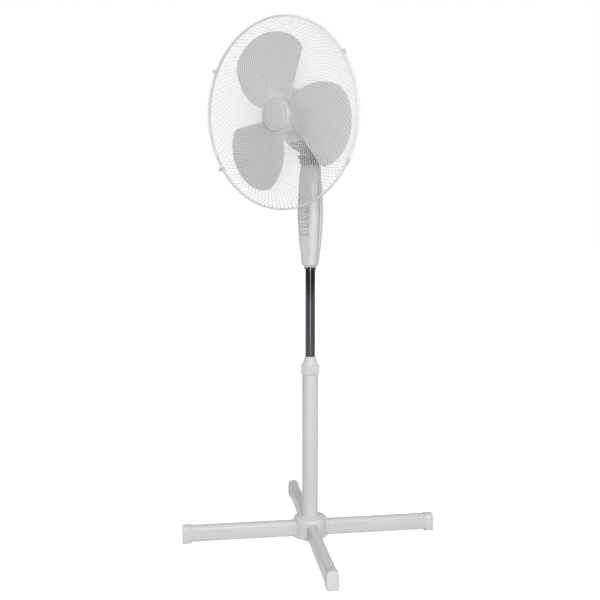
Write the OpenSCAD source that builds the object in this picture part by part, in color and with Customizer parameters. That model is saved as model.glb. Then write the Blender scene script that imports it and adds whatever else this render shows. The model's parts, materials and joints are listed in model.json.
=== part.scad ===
/* [Stand] */
// Reach of each leg from the pole's centre line to its tip
leg_reach = 315; // [290:1:330]
// Outer diameter of the lower pole
lower_pole_d = 39.6; // [39:0.2:40]
// Outer diameter of the upper pole
upper_pole_d = 24; // [23.8:0.1:24]
/* [Control housing] */
// Height of the housing's lower end above the floor
housing_bottom = 672; // [600:1:680]
// Distance between two neighbouring buttons
button_pitch = 17.8; // [16:0.1:19]
/* [Head] */
// Downward tilt of the head at rest
head_tilt = 4.5; // [0:0.5:8]
// Number of wires in each grille
wire_count = 48; // [24:4:60]
// Angle of the first blade about the motor axis
blade_angle = 0; // [-60:1:60]
/* [Hidden] */
$fn = 96;

// Stand, all lengths in mm
bar_w = 26;
bar_h = 37;
bar_z = 4.5;
bar_wall = 1.4;
bar_top = bar_z + bar_h;
lap_z = bar_z + bar_h / 2;
cap_w = 28.8;
cap_h = 43.2;
cap_len = 23;
cap_wall = 2.2;
hub_r = 40.5;
hub_z0 = 1.5;
hub_shoulder = 46;
hub_top = 55.5;
flange_r = 33;
flange_t = 3;
base_screw_r = 26;
outer_r = lower_pole_d / 2;
outer_wall = 1.5;
outer_inner_r = outer_r - outer_wall;
outer_top = 404;

// Height clamp and upper pole
inner_r = upper_pole_d / 2;
neck_r = 17.6;
collar_z = 407.3;
collar_r = 22.9;
flute_count = 28;
bush_z = 335;
bush_h = 24;
bush_floor = 4;
inner_pole_z = bush_z + bush_floor + 0.1;
inner_pole_top = 705;

// Control housing
housing_mid = 798;
housing_top = 912;
shell = 2.2;
button_z = 779;
button_w = 14;
button_h = 9;
button_face_y = -27.6;

// Head, measured from the tilt pivot
pivot_z = 924;
motor_z = 104;
motor_r = 54;
motor_front = 62;
motor_split = -14;
motor_dome = -45;
motor_back = -80;
link_x = 18;
crank_y = 45;
crank_pin = [10.9, 46.6];
ring_r = 213.3;
ring_wire = 1.7;
rear_ring_t = 111.4;
front_ring_t = 115;
rear_plate_t = 64.5;
rear_plate_r = 58;
face_in_t = 124.2;
face_out_t = 129.5;
face_in_r = 36;
face_out_r = 197;
wire_offset = 25;
wire_w = 2;
wire_half = 1.1;
clip_angles = [32, 148, 212, 328];
blade_lead = -52;
blade_turn = 90;
blade_lead_t = 89;
blade_depth = 25;
blade_t = 2;
blade_tip_r = 189;

// Outline of a bar: x centred, standing on y = 0, with rounded corners
module round_bar(w, h, top_r, low_r) {
    translate([-w / 2 + top_r, 0]) square([w - 2 * top_r, h]);
    translate([-w / 2, low_r]) square([w, h - low_r - top_r]);
    translate([-w / 2 + low_r, 0]) square([w - 2 * low_r, low_r + 1]);
    for (s = [-1, 1]) {
        translate([s * (w / 2 - top_r), h - top_r]) circle(top_r);
        translate([s * (w / 2 - low_r), low_r]) circle(low_r);
    }
}

// Turns an outline so that it runs along +X and stands up along +Z
module along_x(from, to) {
    translate([from, 0, 0]) rotate([90, 0, 90]) linear_extrude(to - from) children();
}

// A leg bar lying along the X axis
module leg_bar() {
    reach = leg_reach - cap_wall;
    difference() {
        translate([0, 0, bar_z]) along_x(-reach, reach) round_bar(bar_w, bar_h, 10, 5);
        translate([0, 0, bar_z + bar_wall]) along_x(-reach - 1, reach + 1)
            round_bar(bar_w - 2 * bar_wall, bar_h - 2 * bar_wall, 8.6, 3.6);
        for (s = [-1, 1])
            translate([s * base_screw_r, 0, bar_top - 5]) cylinder(r = 2.45, h = 10);
    }
}

module cross_bar_lower() {
    color("gainsboro") rotate([0, 0, 45]) difference() {
        leg_bar();
        translate([-bar_w / 2 - 0.3, -bar_w, lap_z - 0.1]) cube([bar_w + 0.6, 2 * bar_w, bar_h]);
    }
}

module cross_bar_upper() {
    color("gainsboro") rotate([0, 0, -45]) difference() {
        leg_bar();
        translate([-bar_w / 2 - 0.3, -bar_w, lap_z + 0.1 - bar_h]) cube([bar_w + 0.6, 2 * bar_w, bar_h]);
    }
}

// End cap that wraps the bar's end and stands on the floor
module foot_cap(angle) {
    color("whitesmoke") rotate([0, 0, angle]) difference() {
        along_x(leg_reach - cap_len, leg_reach) round_bar(cap_w, cap_h, 11.4, 5);
        translate([0, 0, bar_z - 0.1]) along_x(leg_reach - cap_len - 1, leg_reach - cap_wall)
            round_bar(bar_w + 0.2, bar_h + 0.2, 10.1, 5.1);
    }
}

// Round cover over the crossing, with a short sleeve over each leg
module base_hub_cover() {
    outer = [for (a = [0:15:60]) [hub_r - 5 + 5 * cos(a), hub_shoulder + 5 * sin(a)]];
    inner = [for (a = [60:-15:0]) [hub_r - 5 + 2.6 * cos(a), hub_shoulder + 2.6 * sin(a)]];
    color("whitesmoke") difference() {
        union() {
            rotate_extrude() polygon(concat(
                [[hub_r - 2.4, hub_z0], [hub_r, hub_z0]], outer,
                [[23.5, hub_top - 0.6], [22, hub_top], [outer_r + 0.15, hub_top],
                [outer_r + 0.15, hub_top - 2.6], [22.5, hub_top - 3]], inner));
            for (k = [0:3]) rotate([0, 0, 45 + 90 * k]) difference() {
                translate([0, 0, hub_z0]) along_x(30, 41.2) round_bar(33, 43.8, 13.1, 1);
                translate([0, 0, -1]) cylinder(r = hub_r - 2.4, h = 60);
            }
        }
        for (k = [0:3]) rotate([0, 0, 45 + 90 * k])
            translate([0, 0, -1]) along_x(25, 60) round_bar(bar_w + 0.8, bar_top + 1.4, 10.4, 0.5);
    }
}

// Steel flange with the socket tube that carries the lower pole
module pole_foot() {
    color("silver") difference() {
        union() {
            translate([0, 0, bar_top]) cylinder(r = flange_r, h = flange_t);
            translate([0, 0, bar_top]) cylinder(r = outer_inner_r - 0.05, h = 66);
        }
        translate([0, 0, bar_top - 1]) cylinder(r = outer_inner_r - 2, h = 80);
        for (k = [0:3]) rotate([0, 0, 45 + 90 * k])
            translate([base_screw_r, 0, bar_top - 1]) cylinder(r = 2.6, h = 6);
    }
}

module base_screws() {
    head_z = bar_top + flange_t;
    color("silver") for (k = [0:3]) rotate([0, 0, 45 + 90 * k]) translate([base_screw_r, 0, 0]) {
        translate([0, 0, head_z - 12]) cylinder(r = 2.4, h = 12);
        difference() {
            translate([0, 0, head_z]) cylinder(r1 = 4.5, r2 = 3.6, h = 2.8);
            translate([-3, -0.5, head_z + 1.6]) cube([6, 1, 3]);
            translate([-0.5, -3, head_z + 1.6]) cube([1, 6, 3]);
        }
    }
}

module outer_pole() {
    foot = bar_top + flange_t;
    color("whitesmoke") difference() {
        translate([0, 0, foot]) cylinder(r = outer_r, h = outer_top - foot);
        translate([0, 0, foot - 1]) cylinder(r = outer_inner_r, h = outer_top);
    }
}

// Sleeve in the lower pole's mouth, with a threaded neck and slotted clamping fingers
module pole_collet() {
    color("white") difference() {
        rotate_extrude() polygon([
            [inner_r + 0.06, outer_top - 33], [outer_inner_r - 0.05, outer_top - 33],
            [outer_inner_r - 0.05, outer_top], [outer_r, outer_top], [outer_r, outer_top + 3],
            [neck_r, outer_top + 3], [neck_r, outer_top + 24], [14.2, outer_top + 40],
            [inner_r + 0.06, outer_top + 40]]);
        for (a = [0, 90])
            rotate([0, 0, a]) translate([-20, -0.8, outer_top + 18]) cube([40, 1.6, 40]);
    }
}

// Turning collar: fluted grip ring below, plain cone above
module height_collar() {
    color("whitesmoke") difference() {
        rotate_extrude() polygon([
            [neck_r + 0.08, collar_z], [20.6, collar_z], [21, collar_z + 1],
            [collar_r - 1, collar_z + 1.2], [collar_r, collar_z + 2.4],
            [collar_r, collar_z + 21.6], [collar_r - 1.2, collar_z + 23.2], [19.2, collar_z + 23.6],
            [18.7, collar_z + 24.4], [13.5, collar_z + 42.7], [13.1, collar_z + 43.7],
            [inner_r + 0.4, collar_z + 43.7], [inner_r + 0.4, collar_z + 39.7],
            [15.1, collar_z + 38], [neck_r + 0.5, collar_z + 21.5], [neck_r + 0.08, collar_z + 21]]);
        for (k = [0:flute_count - 1]) rotate([0, 0, k * 360 / flute_count])
            translate([collar_r + 0.7, 0, collar_z + 1]) cylinder(r = 1.5, h = 22, $fn = 24);
    }
}

// Bush on the upper pole's lower end, a running fit in the lower pole
module slide_bush() {
    color("dimgray") difference() {
        translate([0, 0, bush_z]) cylinder(r = outer_inner_r - 0.07, h = bush_h);
        translate([0, 0, bush_z + bush_floor]) cylinder(r = inner_r + 0.06, h = bush_h);
        translate([0, 0, bush_z - 1]) cylinder(r = 7, h = bush_h);
    }
}

module inner_pole() {
    color("dimgray") difference() {
        translate([0, 0, inner_pole_z]) cylinder(r = inner_r, h = inner_pole_top - inner_pole_z);
        translate([0, 0, inner_pole_z - 1]) cylinder(r = inner_r - 1.2, h = inner_pole_top);
    }
}

// One level of the housing: a rounded rectangle 2a wide and 2b deep
module level(z, a, b, r) {
    for (sx = [-1, 1], sy = [-1, 1])
        translate([sx * (a - r), sy * (b - r), z]) cylinder(r = r, h = 0.02, $fn = 48);
}

// The housing's outer form, drawn in by the given amount, between two levels
module housing_form(inset, low, high) {
    hull() {
        level(low, 19 - inset, 18 - inset, 14 - inset);
        level(housing_mid, 28.5 - inset, 23 - inset, 15 - inset);
    }
    hull() {
        level(housing_mid, 28.5 - inset, 23 - inset, 15 - inset);
        level(high, 22 - inset, 19.5 - inset, 13.5 - inset);
    }
}

// Housing shell with the split pole socket and the mouth for the tilt post
module housing_shell() {
    difference() {
        union() {
            difference() {
                housing_form(0, housing_bottom, housing_top);
                housing_form(shell, housing_bottom + 2.5, housing_top - 2.5);
            }
            translate([0, 0, housing_bottom - 3]) cylinder(r = 14.4, h = 40, $fn = 64);
        }
        translate([0, 0, housing_bottom - 4]) cylinder(r = inner_r + 0.15, h = 60, $fn = 64);
        translate([-13.1, -10.6, housing_top - 10]) cube([26.2, 21.2, 20]);
    }
}

module housing_front() {
    color("whitesmoke") difference() {
        housing_shell();
        translate([-60, 0, 600]) cube([120, 60, 400]);
        for (k = [-1.5:1:1.5])
            translate([-button_w / 2 - 0.3, -40, button_z + k * button_pitch - button_h / 2 - 0.3])
                cube([button_w + 0.6, 30, button_h + 0.6]);
    }
}

module housing_rear() {
    color("whitesmoke") difference() {
        housing_shell();
        translate([-60, -60, 600]) cube([120, 60, 400]);
        for (z = [730, 885])
            translate([0, 10, z]) rotate([-90, 0, 0]) cylinder(r = 1.7, h = 30, $fn = 32);
        translate([0, 5, housing_bottom + 15]) rotate([-90, 0, 0]) cylinder(r = 2.55, h = 30, $fn = 32);
        translate([0, 5, 712]) rotate([-90, 0, 0]) cylinder(r = 5.1, h = 30, $fn = 48);
    }
}

module housing_screws() {
    color("silver") for (p = [[730, 19.2], [885, 19.0]]) translate([0, p[1], p[0]]) rotate([-90, 0, 0]) {
        translate([0, 0, -14]) cylinder(r = 1.6, h = 17);
        difference() {
            translate([0, 0, 2.9]) cylinder(r1 = 3.2, r2 = 2.6, h = 1.8);
            translate([-2, -0.4, 4]) cube([4, 0.8, 2]);
            translate([-0.4, -2, 4]) cube([0.8, 4, 2]);
        }
    }
}

// Screw from the back that holds the housing on the upper pole
module pole_set_screw() {
    color("silver") translate([0, inner_r + 0.2, housing_bottom + 15]) rotate([-90, 0, 0]) {
        cylinder(r = 2.5, h = 8.5);
        difference() {
            translate([0, 0, 8.5]) cylinder(r1 = 4.4, r2 = 3.6, h = 2.6);
            translate([-3, -0.5, 10]) cube([6, 1, 3]);
        }
    }
}

module switch_block() {
    color("ivory") difference() {
        translate([-11, -12, button_z - 40]) cube([22, 18, 80]);
        for (k = [-1.5:1:1.5])
            translate([-4.2, -13, button_z + k * button_pitch - 3.2]) cube([8.4, 8, 6.4]);
    }
}

module capacitor() {
    color("slategray") translate([-15, -6, 832]) cube([30, 14, 26]);
}

// Rubber bush around the supply cord's hole
module cable_gland() {
    color("black") translate([0, 14.5, 712]) rotate([-90, 0, 0]) difference() {
        union() {
            cylinder(r = 5, h = 8);
            translate([0, 0, 6.2]) cylinder(r1 = 6.4, r2 = 5.2, h = 5);
        }
        translate([0, 0, -1]) cylinder(r = 3.2, h = 20);
    }
}

// Push button at a step of the row, counted from the middle
module push_button(k) {
    color("white") translate([0, 0, button_z + k * button_pitch]) {
        difference() {
            translate([-button_w / 2, button_face_y, -button_h / 2]) cube([button_w, 11, button_h]);
            translate([0, button_face_y - 38.6, -20]) cylinder(r = 40, h = 40, $fn = 160);
        }
        translate([-button_w / 2 - 1.2, -18.2, -button_h / 2 - 1.2])
            cube([button_w + 2.4, 1.6, button_h + 2.4]);
        translate([-4, -17, -3]) cube([8, 8, 6]);
    }
}

// Tongue that carries the tilt pivot, held in the housing's top
module tilt_post() {
    color("gainsboro") difference() {
        union() {
            translate([-13, -10.5, 880]) cube([26, 21, pivot_z - 880]);
            translate([-15.5, -12.5, 903]) cube([31, 25, 6.3]);
            translate([-13, 0, pivot_z]) rotate([0, 90, 0]) cylinder(r = 10.5, h = 26);
        }
        translate([-20, 0, pivot_z]) rotate([0, 90, 0]) cylinder(r = 3.06, h = 40);
        translate([0, 4.8, 885]) rotate([-90, 0, 0]) cylinder(r = 1.65, h = 8, $fn = 32);
    }
}

// Places a part measured from the tilt pivot
module head() {
    translate([0, 0, pivot_z]) rotate([head_tilt, 0, 0]) children();
}

// Places a part measured along the motor axis, which points forward
module motor_axis() {
    head() translate([0, 0, motor_z]) rotate([90, 0, 0]) children();
}

// A ring round the motor axis between two stations
module ring(inner, outer, from, to) {
    difference() {
        translate([0, 0, from]) cylinder(r = outer, h = to - from);
        translate([0, 0, from - 1]) cylinder(r = inner, h = to - from + 2);
    }
}

// Fork over the tongue, with the swing spigot and the link's stud on top
module tilt_neck() {
    color("whitesmoke") head() difference() {
        union() {
            for (s = [-1, 1]) translate([s > 0 ? 13.3 : -24, 0, 0]) {
                rotate([0, 90, 0]) cylinder(r = 11.3, h = 10.7);
                rotate([90, 0, 90]) linear_extrude(10.7)
                    polygon([[-11.3, 0], [11.3, 0], [20, 11], [-20, 11]]);
            }
            translate([-24, -20, 11]) cube([48, 40, 3.5]);
            cylinder(r = 8, h = 46);
            translate([link_x, 0, 14]) cylinder(r = 2.5, h = 5);
        }
        translate([-40, 0, 0]) rotate([0, 90, 0]) cylinder(r = 3.05, h = 80);
        translate([-13.3, -30, -20]) cube([26.6, 60, 31]);
    }
}

module tilt_bolt() {
    color("silver") head() {
        translate([-24, 0, 0]) rotate([0, 90, 0]) cylinder(r = 3, h = 56);
        translate([-27.8, 0, 0]) rotate([0, 90, 0]) cylinder(r = 5.5, h = 3.8, $fn = 6);
    }
}

// Round hand knob on the tilt bolt
module tilt_knob() {
    color("whitesmoke") head() translate([24.4, 0, 0]) rotate([0, 90, 0]) difference() {
        union() {
            cylinder(r = 7, h = 4);
            translate([0, 0, 3]) cylinder(r1 = 12, r2 = 11, h = 11);
        }
        translate([0, 0, -1]) cylinder(r = 3.06, h = 9.2);
        for (k = [0:11]) rotate([0, 0, k * 30])
            translate([13.2, 0, 2]) cylinder(r = 2.6, h = 13, $fn = 32);
    }
}

// Bar between the neck's stud and the crank's pin
module link_bar() {
    dx = crank_pin[0] - link_x;
    length = sqrt(dx * dx + crank_pin[1] * crank_pin[1]);
    color("silver") head() translate([link_x, 0, 15.4])
        rotate([0, 0, atan2(crank_pin[1], dx)]) difference() {
            union() {
                cylinder(r = 5.5, h = 2.8);
                translate([length, 0, 0]) cylinder(r = 5.5, h = 2.8);
                translate([0, -3.5, 0]) cube([length, 7, 2.8]);
            }
            translate([0, 0, -1]) cylinder(r = 2.56, h = 5);
            translate([length, 0, -1]) cylinder(r = 2.8, h = 5);
        }
}

// Block under the motor that turns on the neck's spigot, its underside rising forward
module swivel_bracket() {
    color("whitesmoke") head() difference() {
        rotate([90, 0, 90]) translate([0, 0, -25]) linear_extrude(50)
            polygon([[24, 19.6], [24, 58], [-61, 58], [-61, 41], [-12, 19.6]]);
        translate([0, 0, motor_z]) rotate([90, 0, 0]) translate([0, 0, -100])
            cylinder(r = motor_r + 0.05, h = 200);
        cylinder(r = 8.06, h = 46.5);
    }
}

// Front half of the motor cover, with the threaded boss for the grille nut
module motor_front_cover() {
    edge = [for (a = [0:15:90]) [motor_r - 8 + 8 * cos(a), motor_front - 8 + 8 * sin(a)]];
    edge_in = [for (a = [90:-15:0]) [motor_r - 8 + 5.8 * cos(a), motor_front - 8 + 5.8 * sin(a)]];
    color("whitesmoke") motor_axis() rotate_extrude() polygon(concat(
        [[motor_r - shell, motor_split], [motor_r, motor_split]], edge,
        [[17, motor_front], [17, motor_front + 9], [9, motor_front + 9], [9, motor_front - shell]],
        edge_in));
}

// Rear half of the motor cover: straight, then domed, with air slots in the back
module motor_rear_cover() {
    depth = motor_dome - motor_back;
    outer = [for (a = [0:-9:-81]) [motor_r * cos(a), motor_dome + depth * sin(a)]];
    inner = [for (a = [-81:9:0]) [(motor_r - shell) * cos(a), motor_dome + (depth - shell) * sin(a)]];
    color("whitesmoke") difference() {
        motor_axis() rotate_extrude() polygon(concat(
            [[motor_r - shell, motor_split], [motor_r, motor_split]], outer,
            [[0, motor_back], [0, motor_back + shell]], inner));
        head() translate([0, crank_y, 30]) cylinder(r = 8.4, h = 40);
        head() translate([0, 34, 130]) cylinder(r = 4.4, h = 40);
        for (k = [0:17]) motor_axis() rotate([0, 0, 20 * k + 10]) translate([0, 0, motor_back - 1])
            linear_extrude(20) polygon([[15, -1.3], [33, -2.9], [33, 2.9], [15, 1.3]]);
        for (s = [-1, 1]) {
            head() translate([s * 42, 50, motor_z]) rotate([-90, 0, 0]) cylinder(r = 1.7, h = 40);
            head() translate([s * 42, 68.15, motor_z]) rotate([-90, 0, 0])
                cylinder(r = 3.7, h = 10, $fn = 32);
        }
    }
}

module motor_cover_screws() {
    color("silver") for (s = [-1, 1])
        head() translate([s * 42, 45, motor_z]) rotate([-90, 0, 0]) {
            cylinder(r = 1.6, h = 23.2);
            translate([0, 0, 23.2]) cylinder(r1 = 3.4, r2 = 2.8, h = 2);
        }
}

module stator_core() {
    color("silver") motor_axis() difference() {
        ring(25, 42, -2, 38);
        for (k = [0:3]) rotate([0, 0, 45 + 90 * k])
            translate([38, 0, -5]) cylinder(r = 2.2, h = 60);
    }
}

module stator_coils() {
    color("orangered") motor_axis() {
        ring(26.5, 35, 38.1, 45);
        ring(26.5, 35, -9, -2.1);
    }
}

module motor_bolts() {
    color("silver") motor_axis() for (k = [0:3]) rotate([0, 0, 45 + 90 * k]) translate([38, 0, 0]) {
        translate([0, 0, -15.5]) cylinder(r = 2.1, h = 67.5);
        translate([0, 0, 52.1]) cylinder(r = 3.8, h = 2.6);
    }
}

// Disc that carries a shaft bearing, between two stations
module end_bell(from, to) {
    motor_axis() difference() {
        ring(8.05, 46, from, to);
        for (k = [0:3]) rotate([0, 0, 45 + 90 * k])
            translate([38, 0, from - 1]) cylinder(r = 2.2, h = to - from + 2);
    }
}

module end_bell_front() {
    color("lightgray") end_bell(48, 52);
}

module end_bell_rear() {
    color("lightgray") end_bell(-16, -12);
}

module bearing_front() {
    color("goldenrod") motor_axis() ring(4.05, 8, 45.5, 54);
}

module bearing_rear() {
    color("goldenrod") motor_axis() ring(4.05, 8, -16, -8);
}

// Casing behind the motor that holds the worm drive and the swing clutch
module gearbox() {
    color("ivory") head() difference() {
        union() {
            translate([-14, 16.1, 60]) cube([28, 37, 66]);
            translate([0, crank_y, 40]) cylinder(r = 8, h = 22);
        }
        translate([0, 10, motor_z]) rotate([-90, 0, 0]) cylinder(r = 5.6, h = 32);
        translate([0, crank_y, 39]) cylinder(r = 4.05, h = 40);
        translate([0, 34, 112]) cylinder(r = 4.05, h = 20);
    }
}

// Disc with an off-centre pin that drives the link
module crank() {
    color("silver") head() {
        translate([0, crank_y, 20]) cylinder(r = 15, h = 3.5);
        translate([0, crank_y, 20]) cylinder(r = 4, h = 56);
        translate([crank_pin[0], crank_pin[1], 18.5]) cylinder(r = 2.5, h = 2);
    }
}

// Pull knob on top of the motor that switches the swing off and on
module swing_knob() {
    color("whitesmoke") head() translate([0, 34, 0]) {
        translate([0, 0, 114]) cylinder(r = 4, h = 50);
        translate([0, 0, 161]) cylinder(r1 = 7, r2 = 8, h = 12);
        translate([0, 0, 173]) cylinder(r1 = 8, r2 = 6.4, h = 2.5);
    }
}

// Thin wall that follows a grille's form; its profile is given as outer and inner lines
module wire_band(outer, inner) {
    rotate_extrude() polygon(concat(outer, inner));
}

// Slanted straight ribs across the whole form, turned to one side; they miss the clips at the rim
module slanted_ribs(side, low, high) {
    turn = side * asin(wire_offset / ring_r);
    for (k = [0:wire_count - 1]) rotate([0, 0, turn + k * 360 / wire_count])
        translate([side * wire_offset - wire_w / 2, 0, low]) cube([wire_w, 212.5, high - low]);
}

// Ring of round wire at a station of the motor axis
module wire_ring(radius, station, wire) {
    translate([0, 0, station]) rotate_extrude() translate([radius, 0]) circle(wire, $fn = 32);
}

function rear_t(r) = rear_plate_t + (rear_ring_t - rear_plate_t)
    * pow((r - rear_plate_r) / (ring_r - rear_plate_r), 6);

module rear_grille() {
    steps = [0, 0.4, 0.6, 0.72, 0.82, 0.89, 0.95, 1];
    span = ring_r - rear_plate_r;
    up = [for (s = steps) [rear_plate_r + s * span, rear_t(rear_plate_r + s * span) + wire_half]];
    down = [for (i = [len(steps) - 1:-1:0])
        [rear_plate_r + steps[i] * span, rear_t(rear_plate_r + steps[i] * span) - wire_half]];
    color("white") motor_axis() {
        intersection() {
            wire_band(up, down);
            slanted_ribs(1, 60, 120);
        }
        wire_ring(ring_r, rear_ring_t, ring_wire);
        ring(17.2, 61, 62.1, 65);
    }
}

module grille_nut() {
    color("whitesmoke") motor_axis() difference() {
        ring(17.05, 29, 65.1, 71);
        for (k = [0:5]) rotate([0, 0, 60 * k])
            translate([31.5, 0, 64]) cylinder(r = 5, h = 8);
    }
}

// Front grille: nearly flat face, rounded shoulder and rim ring
module front_grille() {
    turn = [0:15:90];
    rise = face_out_t - front_ring_t;
    reach = ring_r - face_out_r;
    up = concat([[face_in_r, face_in_t + wire_half]], [for (a = turn)
        [face_out_r + (reach + 0.6) * sin(a), front_ring_t + (rise + wire_half) * cos(a)]]);
    down = concat([for (i = [90:-15:0])
        [face_out_r + (reach - 1.4) * sin(i), front_ring_t + (rise - wire_half) * cos(i)]],
        [[face_in_r, face_in_t - wire_half]]);
    color("white") motor_axis() {
        intersection() {
            wire_band(up, down);
            slanted_ribs(-1, 114, 140);
        }
        wire_ring(ring_r, front_ring_t, ring_wire);
        ring(22, 37.2, 123.2, 125.4);
    }
}

// Round disc that closes the front grille's middle
module grille_badge() {
    edge = [for (a = [0:15:90]) [35.5 + 2.5 * sin(a), 126.4 + 2.6 * cos(a)]];
    color("whitesmoke") motor_axis() rotate_extrude() polygon(concat(
        [[0, 125.5], [0, 131], [26, 130.6], [28, 129.6], [30, 129.2]], edge,
        [[38, 125.5]]));
}

// Clip that hooks the two rim rings together; it turns round the rear ring
module grille_clip(angle) {
    color("white") motor_axis() rotate([0, 0, angle]) rotate([90, 0, 0])
        translate([0, 0, -4.5]) linear_extrude(9) {
            translate([ring_r, rear_ring_t]) difference() {
                circle(3.6);
                circle(2.05);
                polygon([[0, 0], [7, 4], [7, 9], [-9, 9], [-9, -7.5], [-5.8, -6.9]]);
            }
            translate([215.4, 110.4]) square([2.4, 9.2]);
            translate([211.6, 117.4]) square([6.2, 2.2]);
            translate([217.4, 117.8]) square([4.2, 1.8]);
        }
}

module rotor_core() {
    color("silver") motor_axis() ring(4.02, 24.6, -2, 38);
}

module motor_shaft() {
    color("silver") motor_axis() {
        translate([0, 0, -40]) cylinder(r = 4, h = 160);
        translate([0, 0, -38]) cylinder(r = 5, h = 20);
    }
}

// Angle of the swept trailing edge at a radius
function trail_angle(r) = 42 - 24 * pow(max(r - 30, 0) / 130, 1.8);

// Outline of one blade in the plane across the shaft
module blade_outline() {
    steps = 14;
    root_r = 28;
    lead = [for (i = [0:steps]) let (r = root_r + (150 - root_r) * i / steps)
        [r * cos(blade_lead), r * sin(blade_lead)]];
    tip = [for (i = [1:steps - 1]) let (s = i / steps,
        a = blade_lead + (trail_angle(160) - blade_lead) * s,
        r = 150 + 10 * s + (blade_tip_r - 155) * pow(sin(180 * pow(s, 1.1)), 0.5))
        [r * cos(a), r * sin(a)]];
    trail = [for (i = [steps:-1:0]) let (r = root_r + (160 - root_r) * i / steps, a = trail_angle(r))
        [r * cos(a), r * sin(a)]];
    polygon(concat(lead, tip, trail));
}

// Screw surface of constant pitch, thin along the shaft
module blade_surface() {
    thin = blade_turn * blade_t / blade_depth;
    extra = 14;
    full = blade_turn + extra;
    depth = blade_depth * full / blade_turn;
    translate([0, 0, blade_lead_t]) rotate([0, 0, blade_lead]) linear_extrude(
        depth, twist = -full, slices = 26, $fn = 24)
        polygon([[0, 0], [200 * cos(thin / 2), -200 * sin(thin / 2)], [200, 0],
            [200 * cos(thin / 2), 200 * sin(thin / 2)]]);
}

// Hub with three wide blades
module fan_blade() {
    color("silver") motor_axis() {
        difference() {
            rotate_extrude() polygon([
                [4.02, 78], [9, 78], [9, 112], [31.5, 112], [37, 80], [39.8, 80],
                [34.4, 116], [32, 118], [4.02, 118]]);
        }
        for (k = [0:2]) rotate([0, 0, blade_angle + 120 * k]) difference() {
            intersection() {
                blade_surface();
                translate([0, 0, 70]) linear_extrude(60) blade_outline();
            }
            translate([0, 0, 64]) cylinder(r1 = 38.5, r2 = 31.6, h = 66, $fn = 96);
        }
    }
}

// Left-hand-threaded nose nut that holds the blade on the shaft
module spinner() {
    nose = [for (a = [0:15:90]) [16 + 4 * cos(a), 118.6 + 3.8 * sin(a)]];
    color("whitesmoke") motor_axis() difference() {
        rotate_extrude() polygon(concat([[0, 118.1], [20, 118.1]], nose, [[0, 122.4]]));
        translate([0, 0, 114]) cylinder(r = 4.02, h = 6.1);
    }
}

cross_bar_lower();
cross_bar_upper();
foot_cap(-45);  // foot_cap_1
foot_cap(45);  // foot_cap_2
foot_cap(135);  // foot_cap_3
foot_cap(225);  // foot_cap_4
base_hub_cover();
pole_foot();
base_screws();
outer_pole();
pole_collet();
height_collar();
slide_bush();
inner_pole();
housing_front();
housing_rear();
housing_screws();
pole_set_screw();
switch_block();
capacitor();
cable_gland();
push_button(-1.5);  // button_off
push_button(-0.5);  // button_low
push_button(0.5);  // button_medium
push_button(1.5);  // button_high
tilt_post();
tilt_neck();
tilt_bolt();
tilt_knob();
link_bar();
swivel_bracket();
motor_front_cover();
motor_rear_cover();
motor_cover_screws();
stator_core();
stator_coils();
motor_bolts();
end_bell_front();
end_bell_rear();
bearing_front();
bearing_rear();
gearbox();
crank();
swing_knob();
rear_grille();
grille_nut();
front_grille();
grille_badge();
grille_clip(clip_angles[0]);  // grille_clip_1
grille_clip(clip_angles[1]);  // grille_clip_2
grille_clip(clip_angles[2]);  // grille_clip_3
grille_clip(clip_angles[3]);  // grille_clip_4
rotor_core();
motor_shaft();
fan_blade();
spinner();
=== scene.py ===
# %% [markdown]
# # Pedestal fan
#
# An oscillating floor fan: a wire cage with three wide blades, a motor head on a tilt joint, a
# control housing with four push buttons, a telescopic pole and a crossed base. The CAD frame holds
# the true sizes and the joints. This script gives each visible part its finished surface, its
# material and its light.

# %% Load the fixed frame
import json

import bmesh
import bpy
import numpy as np
from mathutils import Matrix


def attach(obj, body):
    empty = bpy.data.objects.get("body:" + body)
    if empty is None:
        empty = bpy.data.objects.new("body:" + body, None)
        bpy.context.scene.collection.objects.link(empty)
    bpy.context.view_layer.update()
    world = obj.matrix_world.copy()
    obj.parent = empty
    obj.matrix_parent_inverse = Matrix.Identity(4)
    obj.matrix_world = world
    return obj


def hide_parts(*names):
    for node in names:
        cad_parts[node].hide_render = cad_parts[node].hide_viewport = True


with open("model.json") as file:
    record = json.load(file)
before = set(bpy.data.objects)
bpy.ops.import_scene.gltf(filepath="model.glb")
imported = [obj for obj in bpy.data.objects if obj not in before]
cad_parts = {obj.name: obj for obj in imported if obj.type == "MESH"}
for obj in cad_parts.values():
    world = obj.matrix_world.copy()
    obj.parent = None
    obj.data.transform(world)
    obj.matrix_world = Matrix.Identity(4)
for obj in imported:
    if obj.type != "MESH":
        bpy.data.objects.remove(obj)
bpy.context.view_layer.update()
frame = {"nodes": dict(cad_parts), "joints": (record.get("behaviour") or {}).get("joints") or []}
joints = {joint["name"]: joint for joint in frame["joints"]}

# %% [markdown]
# ## Places on the fan
#
# The stand is measured from the floor under the pole. The head tilts, so its parts are easier to
# state in directions of their own: along the motor's shaft, and up and back from the tilt pivot.
# Those directions are read from the joints, so the new surfaces sit exactly on the CAD frame.

# %% Directions of the head and three ways to place a point
MM = 0.001
RIGHT = np.array([1.0, 0.0, 0.0])
FORWARD = np.array(joints["blade_spin"]["axis"], float)
UPWARD = np.array(joints["head_swing"]["axis"], float)
SHAFT = np.array(joints["blade_spin"]["pos_m"], float)
PIVOT = np.array(joints["head_tilt"]["pos_m"], float)


def mixed(x, y, z, first, second, third):
    """The point x along the first direction, plus y along the second, plus z along the third."""
    x, y, z = np.broadcast_arrays(x, y, z)
    return MM * (x[..., None] * first + y[..., None] * second + z[..., None] * third)


def on_floor(x, y, z):
    """Millimetres from the floor under the pole: right, back and up."""
    return mixed(x, y, z, RIGHT, np.array([0.0, 1.0, 0.0]), np.array([0.0, 0.0, 1.0]))


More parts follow.
